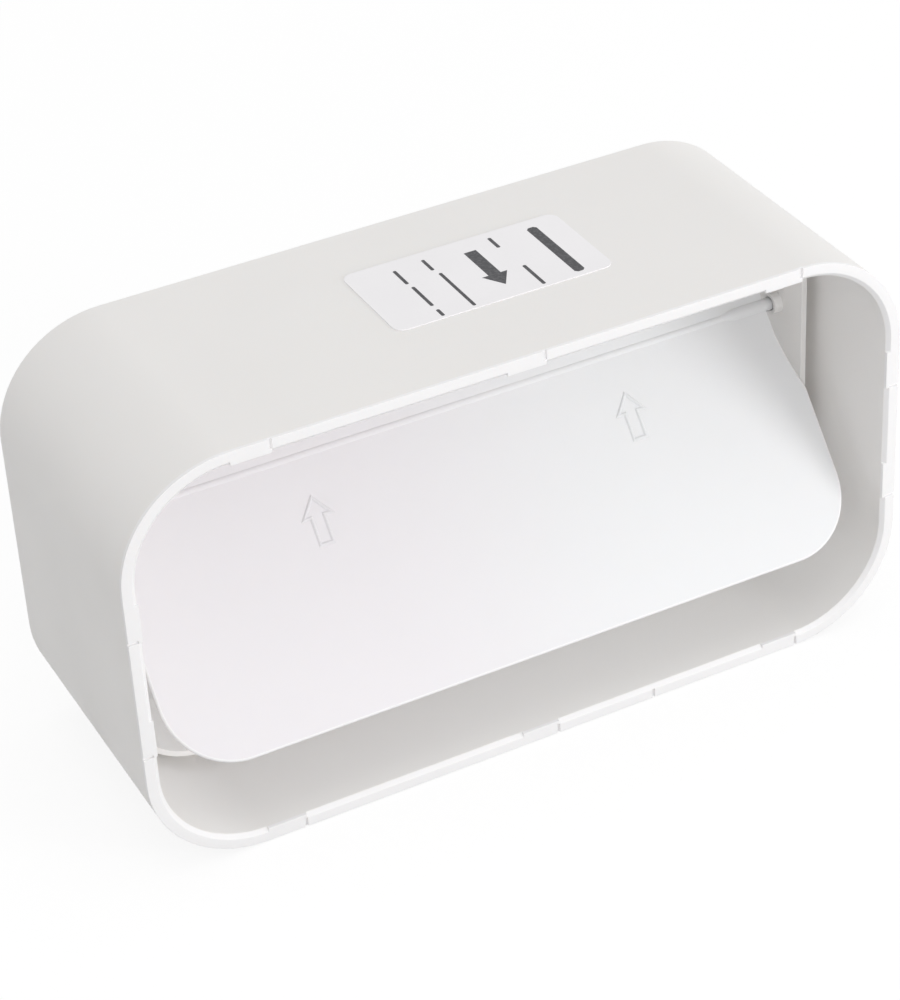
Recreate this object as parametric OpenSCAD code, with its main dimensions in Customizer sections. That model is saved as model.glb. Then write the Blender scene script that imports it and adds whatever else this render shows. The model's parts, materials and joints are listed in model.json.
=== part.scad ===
// Non-return valve for a flat plastic duct: a sleeve that two ducts push into,
// with a free-swinging flap in the short seat tube at its middle.
// X is the width, Y runs along the duct, Z is up. The outlet mouth is at -Y.
// The origin is under the middle of the sleeve, on its flat underside.

/* [Sleeve] */
// Width of the sleeve outside
sleeve_w = 177; // [150:1:240]
// Height of the sleeve outside
sleeve_h = 95; // [85:1:120]
// Length of the sleeve along the duct
sleeve_d = 64; // [60:1:100]
// Radius of the outer corners
sleeve_r = 24.5; // [20:0.5:32]
// Wall of the sleeve
sleeve_wall = 3.1; // [2:0.1:4]

/* [Mouths] */
// Lead-in chamfer inside both mouths
lead_in = 0.9; // [0.4:0.1:1.2]
// Length of each pad that interrupts the outlet chamfer
pad_l = 8.8; // [5:0.1:12]
// Distance between the pads on the long sides
pad_pitch_x = 59.5; // [40:0.5:60]
// Distance between the pads on the short sides
pad_pitch_z = 28; // [14:0.5:30]
// Middle of the extra nick on the lower long side
extra_nick_x = 27.5; // [10:0.5:50]
// Width of the gate nick at the end of each pad
nick_w = 0.6; // [0.3:0.1:1]
// Depth of the gate nick
nick_deep = 0.5; // [0.2:0.1:1]

/* [Seat tube] */
// Gap between the sleeve and the seat tube, which takes the duct wall
trough = 2.7; // [2:0.1:4]
// Wall of the seat tube
tube_wall = 1.3; // [1.2:0.1:2.4]
// Outer corner radius of the seat tube
tube_r = 17; // [14:0.5:20]
// How far the seat tube starts behind the outlet mouth
tube_front = 26.5; // [24:0.5:30]
// Length of the seat tube
tube_l = 20.5; // [18:0.5:26]
// Thickness of the web that joins the tube to the sleeve and stops the ducts
web_t = 2; // [1.5:0.1:3]
// Height of the seat ledge that the flap's upper half closes against
ledge_h = 3.6; // [3:0.1:5]
// Thickness of the seat ledge
ledge_t = 1.6; // [1:0.1:2.5]

/* [Flap] */
// Thickness of the flap plate
flap_t = 1.5; // [1:0.1:2]
// Gap between each side of the flap and the tube
side_gap = 0.8; // [0.6:0.1:2.4]
// Gap between the closed flap and the tube above and below
end_gap = 1.5; // [0.8:0.1:1.8]
// Corner radius of the flap
flap_r = 15.5; // [10:0.5:17]
// How far the hinge axis lies behind the outlet mouth
axis_back = 36.2; // [35:0.1:40]
// Height of the hinge axis above the underside
axis_up = 63.8; // [58:0.1:68]
// Lean of the flap from upright as it is drawn, with its bottom edge forward
open_tilt = 40; // [0:0.5:75]
// How deep the flap's sides are cut back at the hinge line
relief = 3; // [2:0.1:3.5]
// Length of each cut-back side
relief_l = 40; // [30:1:44]
// Radius of the rib along the hinge line
rib_r = 1.05; // [0.9:0.05:1.5]
// Diameter of the roots of the stub pins
root_d = 3.2; // [3:0.1:6]
// Length of each root on the plate
root_l = 8; // [6:0.5:16]
// Length of the cone in which each root runs out into the rib
root_taper = 3; // [1:0.5:5]

/* [Hinge] */
// Diameter of the flap's stub pins
pin_d = 3; // [2.6:0.1:5]
// Radial clearance of the pins in their bearings
pin_clear = 0.08; // [0.03:0.01:0.1]
// How far each pin enters its bearing
pin_in = 2.3; // [1.5:0.1:2.4]
// Height of the bearing bosses above the tube's inner wall
boss_h = 2; // [1.6:0.1:2.2]
// Wall of the bearing bosses round the pin
boss_wall = 0.9; // [0.7:0.1:2.5]

/* [Label] */
// Length of the label across the sleeve
label_w = 50; // [30:0.5:60]
// Width of the label along the duct
label_d = 26; // [15:0.1:30]
// Middle of the label beside the middle of the sleeve
label_x = 7.6; // [-15:0.1:15]
// Middle of the label behind the outlet mouth
label_back = 34.6; // [25:0.1:45]
// Corner radius of the label
label_r = 2.5; // [1:0.1:4]
// Thickness of the label
label_t = 0.2; // [0.1:0.05:0.4]

/* [Hidden] */
$fn = 96;
// Overlap of pieces that are moulded as one, and overshoot of the cutters
lap = 0.6;
mouth_y = -sleeve_d / 2;
mid_z = sleeve_h / 2;
bore_w = sleeve_w - 2 * sleeve_wall;
bore_h = sleeve_h - 2 * sleeve_wall;
bore_r = sleeve_r - sleeve_wall;
tube_w = bore_w - 2 * trough;
tube_h = bore_h - 2 * trough;
seat_w = tube_w - 2 * tube_wall;
seat_h = tube_h - 2 * tube_wall;
seat_r = tube_r - tube_wall;
tube_y = mouth_y + tube_front;
axis_y = mouth_y + axis_back;
// The closed flap is upright: it reaches down and up from the hinge axis
seat_low = mid_z - seat_h / 2;
flap_low = axis_up - seat_low - end_gap;
flap_high = seat_low + seat_h - end_gap - axis_up;
flap_w = seat_w - 2 * side_gap;
// Radius of the arc that cuts the sides back by the relief
relief_r = (relief_l * relief_l / 4 + relief * relief) / (2 * relief);
seat_clear = 0.3;
boss_r = pin_d / 2 + pin_clear + boss_wall;
pin_reach = seat_w / 2 - boss_h + pin_in;
// The ledge keeps clear of the bosses
ledge_clear = boss_r + 2;
long_pads = [-1, 0, 1];
short_pads = [-0.5, 0.5];
// How far past its middle each pad ends, at its nick
pad_past_x = pad_l / 2;
pad_past_z = 2.5;

module rounded_rect(w, h, r) {
    square([w - 2 * r, h], center = true);
    square([w, h - 2 * r], center = true);
    for (sx = [-1, 1], sz = [-1, 1])
        translate([sx * (w / 2 - r), sz * (h / 2 - r)])
            circle(r = r);
}

// A section drawn in X and Z, centred on the sleeve, from y0 to y1
module along_duct(y0, y1) {
    translate([0, y1, mid_z])
        rotate([90, 0, 0])
            linear_extrude(y1 - y0)
                children();
}

// The cutter for one lead-in: a cone in each corner and a wedge along each side
module lead_in_ring() {
    cone_x = bore_w / 2 - bore_r;
    cone_z = bore_h / 2 - bore_r;
    over = lead_in + lap;
    for (sx = [-1, 1], sz = [-1, 1])
        translate([sx * cone_x, -lap, mid_z + sz * cone_z])
            rotate([-90, 0, 0])
                cylinder(r1 = bore_r + over, r2 = bore_r, h = over);
    for (side = [0, 1])
        mirror([side, 0, 0])
            translate([0, 0, mid_z - cone_z])
                linear_extrude(2 * cone_z)
                    polygon([[bore_w / 2, lead_in], [bore_w / 2 - bore_r, lead_in],
                             [bore_w / 2 - bore_r, -lap], [bore_w / 2 + over, -lap]]);
    for (flip = [0, 1])
        translate([0, 0, mid_z])
            mirror([0, 0, flip])
                translate([-cone_x, 0, 0])
                    rotate([90, 0, 90])
                        linear_extrude(2 * cone_x)
                            polygon([[lead_in, bore_h / 2], [lead_in, bore_h / 2 - bore_r],
                                     [-lap, bore_h / 2 - bore_r], [-lap, bore_h / 2 + over]]);
}

// The places along the outlet rim where the lead-in is left out
module pad_blocks(l) {
    reach = lead_in + 2 * lap;
    for (k = long_pads, sz = [-1, 1])
        translate([k * pad_pitch_x + pad_past_x - l, -reach, mid_z + sz * sleeve_h / 2 - sleeve_wall - lap])
            cube([l, 2 * reach, 2 * (sleeve_wall + lap)]);
    for (k = short_pads, sx = [-1, 1])
        translate([sx * sleeve_w / 2 - sleeve_wall - lap, -reach, mid_z + k * pad_pitch_z - pad_past_z])
            cube([2 * (sleeve_wall + lap), 2 * reach, l]);
}

module outlet_lead_in() {
    translate([0, mouth_y, 0])
        difference() {
            lead_in_ring();
            pad_blocks(pad_l);
        }
}

module gate_nicks() {
    nick_z = sleeve_wall - lead_in;
    for (k = long_pads, top = [0, 1])
        translate([k * pad_pitch_x + pad_past_x - nick_w, mouth_y - lap, top * (sleeve_h - nick_z)])
            cube([nick_w, nick_deep + lap, nick_z]);
    translate([extra_nick_x - nick_w / 2, mouth_y - lap, 0])
        cube([nick_w, nick_deep + lap, nick_z]);
    for (k = short_pads, right = [0, 1])
        translate([right * (sleeve_w - nick_z) - sleeve_w / 2, mouth_y - lap,
                   mid_z + k * pad_pitch_z - pad_past_z])
            cube([nick_z, nick_deep + lap, nick_w]);
}

// The ledge in front of the closed flap's upper half, down to just above the bosses
module seat_ledge() {
    ledge_y = axis_y - flap_t / 2 - seat_clear - ledge_t;
    intersection() {
        along_duct(ledge_y, ledge_y + ledge_t)
            difference() {
                rounded_rect(seat_w + tube_wall, seat_h + tube_wall, seat_r + tube_wall / 2);
                rounded_rect(seat_w - 2 * ledge_h, seat_h - 2 * ledge_h, seat_r - ledge_h);
            }
        translate([-sleeve_w / 2, ledge_y - lap, axis_up + ledge_clear])
            cube([sleeve_w, ledge_t + 2 * lap, sleeve_h - axis_up]);
    }
}

module bearing_bosses() {
    for (side = [0, 1])
        mirror([side, 0, 0])
            translate([seat_w / 2 - boss_h, axis_y, axis_up])
                rotate([0, 90, 0])
                    cylinder(r = boss_r, h = boss_h + tube_wall / 2);
}

module bearing_bores() {
    bore_deep = pin_in + 0.3;
    for (side = [0, 1])
        mirror([side, 0, 0])
            translate([seat_w / 2 - boss_h - lap, axis_y, axis_up])
                rotate([0, 90, 0])
                    cylinder(d = pin_d + 2 * pin_clear, h = bore_deep + lap);
}

module sleeve_shell() {
    along_duct(mouth_y, -mouth_y)
        difference() {
            rounded_rect(sleeve_w, sleeve_h, sleeve_r);
            rounded_rect(bore_w, bore_h, bore_r);
        }
}

module stop_web() {
    along_duct(-web_t / 2, web_t / 2)
        difference() {
            rounded_rect(bore_w + 2 * lap, bore_h + 2 * lap, bore_r + lap);
            rounded_rect(tube_w - tube_wall, tube_h - tube_wall, tube_r - tube_wall / 2);
        }
}

module seat_tube() {
    along_duct(tube_y, tube_y + tube_l)
        difference() {
            rounded_rect(tube_w, tube_h, tube_r);
            rounded_rect(seat_w, seat_h, seat_r);
        }
}

module housing() {
    color("whitesmoke")
        difference() {
            union() {
                sleeve_shell();
                stop_web();
                seat_tube();
                seat_ledge();
                bearing_bosses();
            }
            bearing_bores();
            outlet_lead_in();
            mirror([0, 1, 0])
                translate([0, mouth_y, 0])
                    lead_in_ring();
            gate_nicks();
        }
}

// The plate's outline, with the hinge axis at the height 0
module flap_outline() {
    difference() {
        translate([0, (flap_high - flap_low) / 2])
            rounded_rect(flap_w, flap_high + flap_low, flap_r);
        for (sx = [-1, 1])
            translate([sx * (flap_w / 2 - relief + relief_r), 0])
                circle(r = relief_r, $fn = 360);
    }
}

module flap() {
    rib_half = flap_w / 2 - relief;
    color("white")
        translate([0, axis_y, axis_up])
            rotate([-open_tilt, 0, 0]) {
                translate([0, flap_t / 2, 0])
                    rotate([90, 0, 0])
                        linear_extrude(flap_t)
                            flap_outline();
                translate([-rib_half, 0, 0])
                    rotate([0, 90, 0])
                        cylinder(r = rib_r, h = 2 * rib_half);
                for (side = [0, 1])
                    mirror([side, 0, 0])
                        rotate([0, 90, 0]) {
                            translate([0, 0, rib_half - root_l - root_taper])
                                cylinder(r1 = rib_r, d2 = root_d, h = root_taper);
                            translate([0, 0, rib_half - root_l])
                                cylinder(d = root_d, h = root_l);
                            translate([0, 0, rib_half - lap])
                                cylinder(d = pin_d, h = pin_reach - rib_half + lap);
                        }
            }
}

module flow_label() {
    color("ghostwhite")
        translate([label_x, mouth_y + label_back, sleeve_h])
            linear_extrude(label_t)
                rounded_rect(label_w, label_d, label_r);
}

housing();
flap();
flow_label();
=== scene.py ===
"""Looks of a flat duct backdraft valve: moulded white plastic, a printed label and a pale studio floor."""
import json
import math

import bmesh
import bpy
from mathutils import Matrix, Vector


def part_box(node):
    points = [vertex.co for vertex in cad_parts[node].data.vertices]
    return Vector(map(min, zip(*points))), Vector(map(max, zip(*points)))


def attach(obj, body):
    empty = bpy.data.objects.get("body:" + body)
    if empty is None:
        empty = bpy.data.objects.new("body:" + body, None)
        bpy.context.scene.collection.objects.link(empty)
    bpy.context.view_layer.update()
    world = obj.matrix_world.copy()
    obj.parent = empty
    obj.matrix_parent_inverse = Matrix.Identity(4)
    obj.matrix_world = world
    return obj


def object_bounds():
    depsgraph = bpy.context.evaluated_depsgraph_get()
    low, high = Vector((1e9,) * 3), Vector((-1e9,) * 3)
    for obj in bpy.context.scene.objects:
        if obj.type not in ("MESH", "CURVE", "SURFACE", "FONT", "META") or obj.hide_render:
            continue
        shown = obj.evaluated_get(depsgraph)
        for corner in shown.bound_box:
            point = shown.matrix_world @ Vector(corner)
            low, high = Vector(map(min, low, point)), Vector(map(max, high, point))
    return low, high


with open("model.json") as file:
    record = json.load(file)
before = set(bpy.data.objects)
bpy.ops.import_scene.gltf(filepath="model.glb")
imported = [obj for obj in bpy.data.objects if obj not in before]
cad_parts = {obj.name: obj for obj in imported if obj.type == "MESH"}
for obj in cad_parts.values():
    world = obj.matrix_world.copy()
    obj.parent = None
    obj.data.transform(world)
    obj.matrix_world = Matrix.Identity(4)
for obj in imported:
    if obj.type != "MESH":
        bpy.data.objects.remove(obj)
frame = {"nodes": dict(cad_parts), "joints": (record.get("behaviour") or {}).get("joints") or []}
cad_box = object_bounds()

MM = 0.001

# Camera, fitted to the photograph: angles in degrees, lengths in metres
AIM = Vector((0.0, 0.0, 0.0475))
CAM_AZIMUTH = -25.94
CAM_ELEVATION = 34.09
CAM_ROLL = -3.33
CAM_DISTANCE = 0.6495
CAM_RIGHT = -0.0024
CAM_UP = -0.0039
CAM_LENS_MM = 110.66
CAM_SENSOR_MM = 36.0

# Studio light: even light from all round, and three soft lamps that aim at the object.
# Angles are in degrees, from the front and up from the floor; distances and sizes are in metres
AMBIENT = 0.715
LAMPS = {
    "key": dict(azimuth=38.5, elevation=10.0, distance=1.1, size=0.46, watts=4.3),
    "fill": dict(azimuth=-12.0, elevation=15.0, distance=1.1, size=0.5, watts=1.6),
    "top": dict(azimuth=0.0, elevation=85.0, distance=1.1, size=0.8, watts=0.9),
}

# The floor: half its side, the gap that keeps it off the underside, what the camera sees of it,
# and how much light it throws back on the object
FLOOR_SIZE = 3.0
FLOOR_GAP = 0.2 * MM
FLOOR_SHOWN = 0.95
FLOOR_GLOW = 1.05
FLOOR_GLOW_SHARE = 0.8
FLOOR_BOUNCE = 0.45

# Plastic: how much duller its clouds are than its colour, and where on the noise they begin and end
CLOUD = 0.012
EDGE_HIGHLIGHT_CLOUD = 0.01
TINT_CLOUD = 0.008
CLOUD_RANGE = (0.32, 0.68)
SLEEVE_COLOUR = (0.905, 0.889, 0.872)
FLAP_COLOUR = (0.88, 0.856, 0.88)
# The flap's rounded edges are painted whiter than its face: a painted highlight
FLAP_EDGE_HIGHLIGHT_COLOUR = (0.965, 0.955, 0.965)
LABEL_COLOUR = (0.96, 0.945, 0.96)
LABEL_SHADE = (0.945, 0.93, 0.945)
INK_DARK = (0.045, 0.045, 0.05)
INK_PALE = (0.12, 0.12, 0.13)

# Tints are an axis, the places where they begin and are full, and their colour.
# The lip of the outlet mouth is painted whiter than the rest of the sleeve: a painted highlight
MOUTH_Y = cad_box[0][1]
LIP_HIGHLIGHT_TINT = ("Y", MOUTH_Y + 0.95 * MM, MOUTH_Y + 0.65 * MM, (0.948, 0.938, 0.943))
# The flap's violet white turns to a cooler one on its right half
FLAP_TINT = ("X", -35.0 * MM, 35.0 * MM, (0.884, 0.889, 0.9))

# Edges: the most that each node's are rounded, which its smallest faces may hold back,
# and the least turn that counts as sharp or as square
HOUSING_EDGE = 0.25 * MM
FLAP_EDGE = 0.5 * MM
LABEL_EDGE = 0.05 * MM
EDGE_STEPS = 3
WELD_GAP = 0.002 * MM
FLAT_TURN = math.radians(1)
SHARP_TURN = math.radians(34)
SQUARE_TURN = math.radians(75)
# The pins and the rib's ends lie within this distance of the hinge line, and stay as they are
PIN_CLEAR = 4.0 * MM

# The flap's hinge line, its lean at rest and half its plate's thickness, as in the CAD
HINGE = next(j for j in frame["joints"] if j["name"] == "flap_swing")
HINGE_POINT = Vector(HINGE["pos_m"])
FLAP_LEAN = math.radians(40.0)
FLAP_HALF_THICK = 0.75

# The raised arrows on the flap, in millimetres, with heights from the hinge line
ARROW_X = (-35.5, 38.9)
ARROW = dict(tip=-9.0, length=9.9, head_l=4.0, head_w=6.2, shaft_w=2.9)
ARROW_LINE = 0.85
ARROW_CREST = ARROW_LINE / 7
ARROW_RISE = 0.2
ARROW_SUNK = 0.1
# Keeps the mitre of a sharp corner from running far out
LEAST_MITRE = 0.35

# The print on the label, in millimetres from the label's middle; +Y is towards the inlet
PRINT_THICK = 0.02
FLOW_ARROW = dict(tip=7.9, length=15.6, head_l=4.8, head_w=5.8, shaft_w=2.8)
FLOW_ARROW_X = 2.3
# How far each corner of a bar is cut off, as a share of its thickness
BAR_CORNER = 0.25
# Plain bars beside the arrow: middle across, near end, far end, thickness
PRINT_BARS = (
    (17.8, -11.4, 9.8, 2.3),
    (9.0, -12.0, -3.2, 0.8),
    (8.3, 6.0, 10.6, 0.8),
    (-7.0, -12.0, 3.2, 0.75),
    (-7.6, 5.0, 9.9, 0.75),
    (-14.2, -12.2, -9.4, 0.75),
    (-14.3, -7.6, 1.2, 0.75),
    (-14.6, 2.8, 9.0, 0.75),
)


def direction(azimuth, elevation):
    """The unit vector from the object towards a camera or lamp, azimuth 0 being in front, at -Y."""
    a, e = math.radians(azimuth), math.radians(elevation)
    return Vector((math.sin(a) * math.cos(e), -math.cos(a) * math.cos(e), math.sin(e)))


def make_camera():
    """The photograph's camera, which looks past AIM and is turned by a small roll."""
    data = bpy.data.cameras.new("camera")
    data.lens = CAM_LENS_MM
    data.sensor_width = CAM_SENSOR_MM
    cam = bpy.data.objects.new("camera", data)
    bpy.context.scene.collection.objects.link(cam)
    back = direction(CAM_AZIMUTH, CAM_ELEVATION)
    level = Vector((math.cos(math.radians(CAM_AZIMUTH)), math.sin(math.radians(CAM_AZIMUTH)), 0.0))
    upright = back.cross(level)
    roll = math.radians(CAM_ROLL)
    right = level * math.cos(roll) + upright * math.sin(roll)
    up = upright * math.cos(roll) - level * math.sin(roll)
    place = AIM + back * CAM_DISTANCE + right * CAM_RIGHT + up * CAM_UP
    turn = Matrix((right, up, back)).transposed().to_4x4()
    cam.matrix_world = Matrix.Translation(place) @ turn
    bpy.context.scene.camera = cam


def make_lamp(name, azimuth, elevation, distance, size, watts):
    """A round soft lamp that faces AIM and isn't mirrored in the plastic."""
    data = bpy.data.lights.new(name, "AREA")
    data.shape = "DISK"
    data.size = size
    data.energy = watts
    lamp = bpy.data.objects.new(name, data)
    bpy.context.scene.collection.objects.link(lamp)
    back = direction(azimuth, elevation)
    lamp.location = AIM + back * distance
    lamp.visible_glossy = False
    lamp.rotation_mode = "QUATERNION"
    lamp.rotation_quaternion = (-back).to_track_quat("-Z", "Y")


class Graph:
    """Adds nodes to an emptied node tree and links them."""

    def __init__(self, tree):
        self.tree = tree
        tree.nodes.clear()

    def add(self, kind, values=None, family="ShaderNode", **settings):
        """A node of a kind such as Math, with its settings, and values by its inputs' names or numbers."""
        node = self.tree.nodes.new(family + kind)
        for key, value in settings.items():
            setattr(node, key, value)
        for key, value in (values or {}).items():
            node.inputs[key].default_value = value
        return node

    def after(self, source, kind, values=None, **settings):
        """A node whose first input comes from source."""
        node = self.add(kind, values, **settings)
        self.link(source, node.inputs[0])
        return node

    def link(self, source, target):
        self.tree.links.new(source, target)


def new_material(name):
    """A material without nodes, and the graph that adds them."""
    material = bpy.data.materials.new(name)
    material.use_nodes = True
    return material, Graph(material.node_tree)


def neutral(level):
    """A neutral colour at a level from 0 to 1."""
    return (level, level, level, 1.0)


def ramp(graph, source, low, high, low_at, high_at):
    """A colour ramp between two colours, driven by source."""
    node = graph.after(source, "ValToRGB")
    for end, (colour, place) in zip(node.color_ramp.elements, ((low, low_at), (high, high_at))):
        end.position = place
        end.color = (*colour, 1.0)
    return node.outputs["Color"]


def clouded(graph, clouds, colour, cloud):
    """A colour that is duller by cloud where the noise called clouds is low."""
    return ramp(graph, clouds, [part - cloud for part in colour], colour, *CLOUD_RANGE)


def blend_colour(graph, factor, first, second):
    """A colour that goes from first to second as factor goes from 0 to 1."""
    node = graph.after(factor, "Mix", data_type="RGBA")
    first_colour, second_colour, mixed_colour = node.inputs[6], node.inputs[7], node.outputs[2]
    graph.link(first, first_colour)
    graph.link(second, second_colour)
    return mixed_colour


def along_axis(graph, where, axis, start, end):
    """0 to 1 as a place on the object goes from start to end along X, Y or Z."""
    parts = graph.after(where, "SeparateXYZ")
    step = graph.after(parts.outputs[axis], "MapRange", {"From Min": start, "From Max": end},
                       interpolation_type="SMOOTHSTEP")
    return step.outputs["Result"]


def moulded_plastic(name, colour, rough, cloud=CLOUD, grain=0.25, tint=None):
    """White moulded plastic: faint clouding in the colour, uneven gloss, and a fine moulded texture."""
    material, g = new_material(name)
    where = g.add("TexCoord").outputs["Object"]
    body = g.add("BsdfPrincipled", {
        "IOR": 1.49, "Specular IOR Level": 0.42,
        "Subsurface Weight": 0.12, "Subsurface Scale": 1.5 * MM, "Subsurface Radius": (1.0, 0.9, 0.8)})
    clouds = g.after(where, "TexNoise", {"Scale": 22.0, "Detail": 3.0, "Roughness": 0.55}).outputs["Fac"]
    base = clouded(g, clouds, colour, cloud)
    if tint:
        axis, start, end, other = tint
        far = clouded(g, clouds, other, TINT_CLOUD)
        base = blend_colour(g, along_axis(g, where, axis, start, end), base, far)
    g.link(base, body.inputs["Base Color"])
    flow = g.after(where, "TexNoise", {"Scale": 60.0, "Detail": 4.0, "Roughness": 0.6, "Distortion": 0.6})
    gloss = g.after(flow.outputs["Fac"], "MapRange", {
        "From Min": 0.3, "From Max": 0.7, "To Min": rough - 0.05, "To Max": rough + 0.06})
    g.link(gloss.outputs["Result"], body.inputs["Roughness"])
    wave = g.after(where, "TexNoise", {"Scale": 34.0, "Detail": 1.0})
    sink = g.add("Bump", {"Strength": 0.12, "Distance": 1.2 * MM})
    g.link(wave.outputs["Fac"], sink.inputs["Height"])
    fine = g.after(where, "TexNoise", {"Scale": 2600.0, "Detail": 2.0, "Roughness": 0.5})
    skin = g.add("Bump", {"Strength": grain, "Distance": 0.03 * MM})
    g.link(fine.outputs["Fac"], skin.inputs["Height"])
    g.link(sink.outputs["Normal"], skin.inputs["Normal"])
    g.link(skin.outputs["Normal"], body.inputs["Normal"])
    g.after(body.outputs["BSDF"], "OutputMaterial")
    return material


def film(name, colour, shade):
    """The label's film: smooth and a little glossy, with faint clouding."""
    material, g = new_material(name)
    where = g.add("TexCoord").outputs["Object"]
    body = g.add("BsdfPrincipled", {"Roughness": 0.32, "IOR": 1.5})
    clouds = g.after(where, "TexNoise", {"Scale": 90.0, "Detail": 3.0}).outputs["Fac"]
    g.link(ramp(g, clouds, shade, colour, 0.35, 0.65), body.inputs["Base Color"])
    wave = g.add("Bump", {"Strength": 0.15, "Distance": 0.5 * MM})
    g.link(clouds, wave.inputs["Height"])
    g.link(wave.outputs["Normal"], body.inputs["Normal"])
    g.after(body.outputs["BSDF"], "OutputMaterial")
    return material


def ink(name, dark, pale):
    """Printed ink with slightly uneven cover."""
    material, g = new_material(name)
    where = g.add("TexCoord").outputs["Object"]
    body = g.add("BsdfPrincipled", {"Roughness": 0.45})
    cover = g.after(where, "TexNoise", {"Scale": 1800.0, "Detail": 2.0}).outputs["Fac"]
    g.link(ramp(g, cover, dark, pale, 0.45, 0.8), body.inputs["Base Color"])
    g.after(body.outputs["BSDF"], "OutputMaterial")
    return material


def seen_directly(graph):
    """1 for rays from the camera, off gloss or through glass, and 0 for the rest."""
    path = graph.add("LightPath")
    first = graph.after(path.outputs["Is Camera Ray"], "Math", operation="MAXIMUM")
    graph.link(path.outputs["Is Glossy Ray"], first.inputs[1])
    both = graph.after(first.outputs[0], "Math", operation="MAXIMUM")
    graph.link(path.outputs["Is Transmission Ray"], both.inputs[1])
    return both.outputs[0]


def mix_shaders(graph, factor, first, second):
    """A shader that is first where factor is 0, and second where it is 1."""
    node = graph.after(factor, "MixShader")
    graph.link(first.outputs[0], node.inputs[1])
    graph.link(second.outputs[0], node.inputs[2])
    return node


def make_world():
    """Even light from all round; what sees the backdrop directly sees plain white."""
    world = bpy.data.worlds.new("studio")
    bpy.context.scene.world = world
    world.use_nodes = True
    g = Graph(world.node_tree)
    light = g.add("Background", {"Color": neutral(1.0), "Strength": AMBIENT})
    white = g.add("Background", {"Color": neutral(1.0), "Strength": 1.0})
    g.after(mix_shaders(g, seen_directly(g), light, white).outputs[0], "OutputWorld")


def make_floor():
    """A white floor that keeps a faint shadow in the camera's view and gives the object a duller bounce."""
    bm = bmesh.new()
    bmesh.ops.create_grid(bm, x_segments=1, y_segments=1, size=FLOOR_SIZE)
    mesh = bpy.data.meshes.new("floor")
    bm.to_mesh(mesh)
    bm.free()
    floor = bpy.data.objects.new("floor", mesh)
    bpy.context.scene.collection.objects.link(floor)
    floor.location.z = -FLOOR_GAP
    material, g = new_material("floor_white")
    shown = g.add("BsdfDiffuse", {"Color": neutral(FLOOR_SHOWN)})
    glow = g.add("Emission", {"Color": neutral(1.0), "Strength": FLOOR_GLOW})
    seen = g.add("MixShader", {0: FLOOR_GLOW_SHARE})
    g.link(shown.outputs[0], seen.inputs[1])
    g.link(glow.outputs[0], seen.inputs[2])
    bounce = g.add("BsdfDiffuse", {"Color": neutral(FLOOR_BOUNCE)})
    g.after(mix_shaders(g, seen_directly(g), bounce, seen).outputs[0], "OutputMaterial")
    mesh.materials.append(material)


def mark_outline(piece, centre, clear):
    """Marks for rounding the square edges farther than clear from a line along X through centre."""
    tree = bpy.data.node_groups.new("outline_marks", "GeometryNodeTree")
    for way in ("INPUT", "OUTPUT"):
        tree.interface.new_socket("Geometry", in_out=way, socket_type="NodeSocketGeometry")
    g = Graph(tree)
    turn = g.add("InputMeshEdgeAngle", family="GeometryNode").outputs["Unsigned Angle"]
    square = g.after(turn, "Math", {1: SQUARE_TURN}, operation="GREATER_THAN")
    place = g.add("InputPosition", family="GeometryNode").outputs["Position"]
    offset = g.after(place, "VectorMath", {1: centre}, operation="SUBTRACT")
    across = g.after(offset.outputs["Vector"], "VectorMath", {1: (0.0, 1.0, 1.0)}, operation="MULTIPLY")
    length = g.after(across.outputs["Vector"], "VectorMath", operation="LENGTH")
    away = g.after(length.outputs["Value"], "Math", {1: clear}, operation="GREATER_THAN")
    both = g.after(square.outputs[0], "Math", operation="MULTIPLY")
    g.link(away.outputs[0], both.inputs[1])
    source = g.add("GroupInput", family="Node").outputs[0]
    marks = g.after(source, "StoreNamedAttribute", {"Name": "bevel_weight_edge"}, family="GeometryNode",
                    data_type="FLOAT", domain="EDGE")
    g.link(both.outputs[0], marks.inputs["Value"])
    g.after(marks.outputs["Geometry"], "GroupOutput", family="Node")
    piece.modifiers.new("outline_marks", "NODES").node_group = tree


def dress(node, material, edge, edge_highlight_material=None, clear_of=None):
    """Gives a CAD node its material and rounds its sharp edges by a small moulded radius.

    clear_of is (centre, distance): only square edges farther than that from a line along X are rounded. An
    edge material, if given, paints the rounded edges whiter as a painted highlight.
    """
    piece = frame["nodes"][node]
    piece.data.materials.clear()
    piece.data.materials.append(material)
    for face in piece.data.polygons:
        face.use_smooth = True
    weld = piece.modifiers.new("weld", "WELD")
    weld.merge_threshold = WELD_GAP
    flat = piece.modifiers.new("flat_faces", "DECIMATE")
    flat.decimate_type = "DISSOLVE"
    flat.angle_limit = FLAT_TURN
    if clear_of:
        mark_outline(piece, *clear_of)
    bevel = piece.modifiers.new("edges", "BEVEL")
    bevel.width = edge
    bevel.segments = EDGE_STEPS
    bevel.limit_method = "WEIGHT" if clear_of else "ANGLE"
    bevel.angle_limit = SHARP_TURN
    bevel.use_clamp_overlap = not clear_of
    bevel.harden_normals = True
    # The rounded edges take a whiter material: a painted highlight
    if edge_highlight_material:
        piece.data.materials.append(edge_highlight_material)
        bevel.material = 1
    normals = piece.modifiers.new("normals", "WEIGHTED_NORMAL")
    normals.keep_sharp = True
    normals.weight = 60


def new_piece(name, mesh_maker, material, body):
    """A piece built in bmesh by mesh_maker, which rides on a CAD body."""
    bm = bmesh.new()
    mesh_maker(bm)
    bmesh.ops.recalc_face_normals(bm, faces=bm.faces)
    mesh = bpy.data.meshes.new(name)
    bm.to_mesh(mesh)
    bm.free()
    piece = bpy.data.objects.new(name, mesh)
    bpy.context.scene.collection.objects.link(piece)
    mesh.materials.append(material)
    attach(piece, body)


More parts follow.
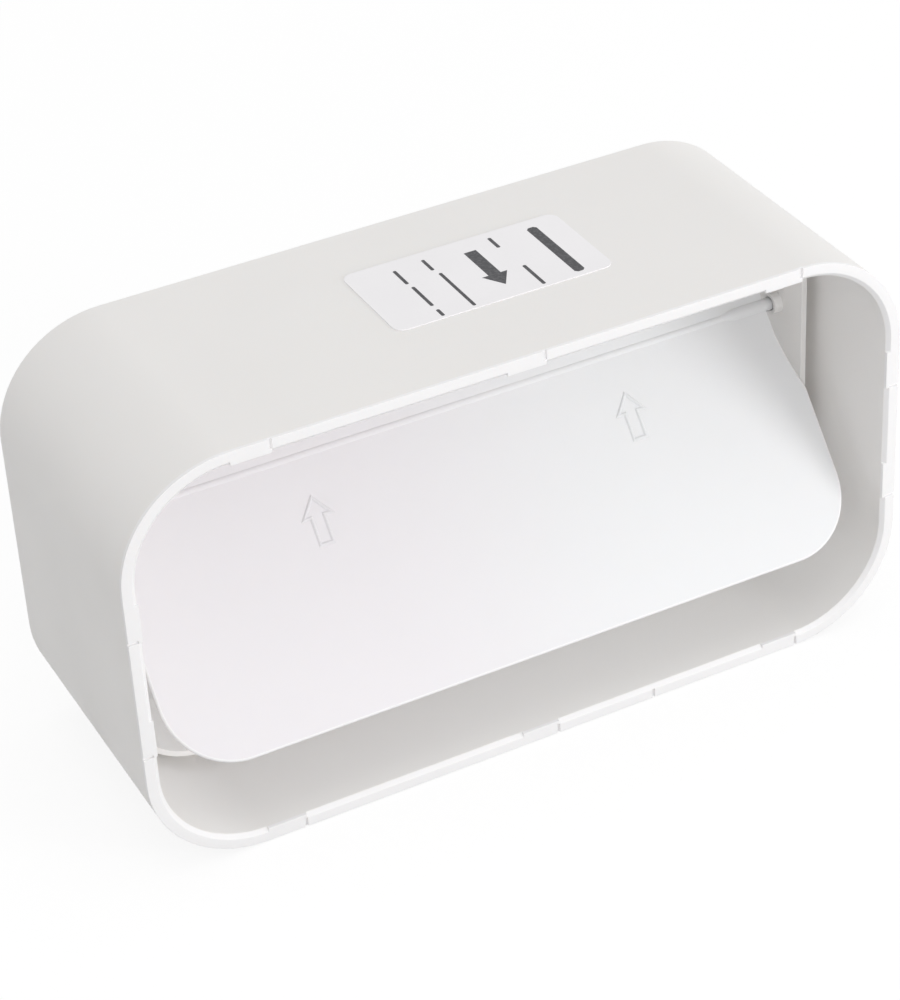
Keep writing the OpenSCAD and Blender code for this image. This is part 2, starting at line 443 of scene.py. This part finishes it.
def arrow_outline(tip, length, head_l, head_w, shaft_w):
    """The seven corners of an arrow that points up, anticlockwise from its tip."""
    return [(0, tip), (-head_w / 2, tip - head_l), (-shaft_w / 2, tip - head_l), (-shaft_w / 2, tip - length),
            (shaft_w / 2, tip - length), (shaft_w / 2, tip - head_l), (head_w / 2, tip - head_l)]


def offset_loop(points, by):
    """A closed outline moved to its left by a distance, with mitred corners."""
    moved = []
    for i, here in enumerate(points):
        here = Vector(here)
        before, after = Vector(points[i - 1]), Vector(points[(i + 1) % len(points)])
        a, b = (here - before).normalized(), (after - here).normalized()
        left_a, left_b = Vector((-a.y, a.x)), Vector((-b.y, b.x))
        mitre = (left_a + left_b).normalized()
        moved.append(here + mitre * (by / max(LEAST_MITRE, mitre.dot(left_a))))
    return moved


def flap_point(x, y, z):
    """A point of the flap, from millimetres across, behind the plate's middle and above the hinge line."""
    return HINGE_POINT + Matrix.Rotation(-FLAP_LEAN, 3, "X") @ Vector((x, y, z)) * MM


def bridge(bm, rings):
    """Faces between each ring of points and the next."""
    for a, b in zip(rings, rings[1:]):
        for i in range(len(a)):
            k = (i + 1) % len(a)
            bm.faces.new((a[i], a[k], b[k], b[i]))


def raised_line(bm, outline, across):
    """A raised line along a closed outline on the flap's front, with sloping flanks and a sunk foot."""
    face, half = -FLAP_HALF_THICK, ARROW_LINE / 2
    section = ((half, face + ARROW_SUNK), (half, face), (ARROW_CREST, face - ARROW_RISE),
               (-ARROW_CREST, face - ARROW_RISE), (-half, face), (-half, face + ARROW_SUNK))
    rings = []
    for by, off in section:
        rings.append([bm.verts.new(flap_point(p.x + across, off, p.y)) for p in offset_loop(outline, by)])
    bridge(bm, rings + rings[:1])


def flap_arrows(bm):
    for across in ARROW_X:
        raised_line(bm, arrow_outline(**ARROW), across)


def label_middle():
    low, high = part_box("flow_label")
    return Vector(((low.x + high.x) / 2, (low.y + high.y) / 2, high.z))


def print_slab(bm, points):
    """A flat printed shape on the label from its outline in millimetres."""
    middle = label_middle()
    low = [bm.verts.new(middle + Vector((x, y, 0.0)) * MM) for x, y in points]
    high = [bm.verts.new(middle + Vector((x, y, PRINT_THICK)) * MM) for x, y in points]
    bm.faces.new(high)
    bm.faces.new(list(reversed(low)))
    bridge(bm, [low, high])


def flow_arrow(bm):
    print_slab(bm, [(FLOW_ARROW_X - x, -y) for x, y in arrow_outline(**FLOW_ARROW)])


def print_bars(bm):
    for across, near, far, thick in PRINT_BARS:
        cut = thick * BAR_CORNER
        left, right = across - thick / 2, across + thick / 2
        print_slab(bm, [(left + cut, near), (right - cut, near), (right, near + cut), (right, far - cut),
                        (right - cut, far), (left + cut, far), (left, far - cut), (left, near + cut)])


make_camera()
make_world()
for lamp_name, lamp_settings in LAMPS.items():
    make_lamp(lamp_name, **lamp_settings)
make_floor()

# The sleeve's lip tint paints the outlet mouth's lip whiter: a painted highlight
sleeve_white = moulded_plastic("sleeve_white", SLEEVE_COLOUR, rough=0.42, tint=LIP_HIGHLIGHT_TINT)
flap_white = moulded_plastic("flap_white", FLAP_COLOUR, rough=0.4, tint=FLAP_TINT)
# Whiter plastic for the flap's rounded edges: a painted highlight
flap_edge_highlight = moulded_plastic("flap_edge_highlight", FLAP_EDGE_HIGHLIGHT_COLOUR, rough=0.3, cloud=EDGE_HIGHLIGHT_CLOUD, grain=0.15)
label_white = film("label_white", LABEL_COLOUR, LABEL_SHADE)
print_grey = ink("print_grey", INK_DARK, INK_PALE)

dress("housing", sleeve_white, HOUSING_EDGE)
dress("flap", flap_white, FLAP_EDGE, edge_highlight_material=flap_edge_highlight, clear_of=(HINGE_POINT, PIN_CLEAR))
dress("flow_label", label_white, LABEL_EDGE)
new_piece("flap_arrows", flap_arrows, flap_white, "flap")
new_piece("flow_arrow", flow_arrow, print_grey, "sleeve")
new_piece("print_bars", print_bars, print_grey, "sleeve")

bpy.context.scene.view_settings.view_transform = "Standard"
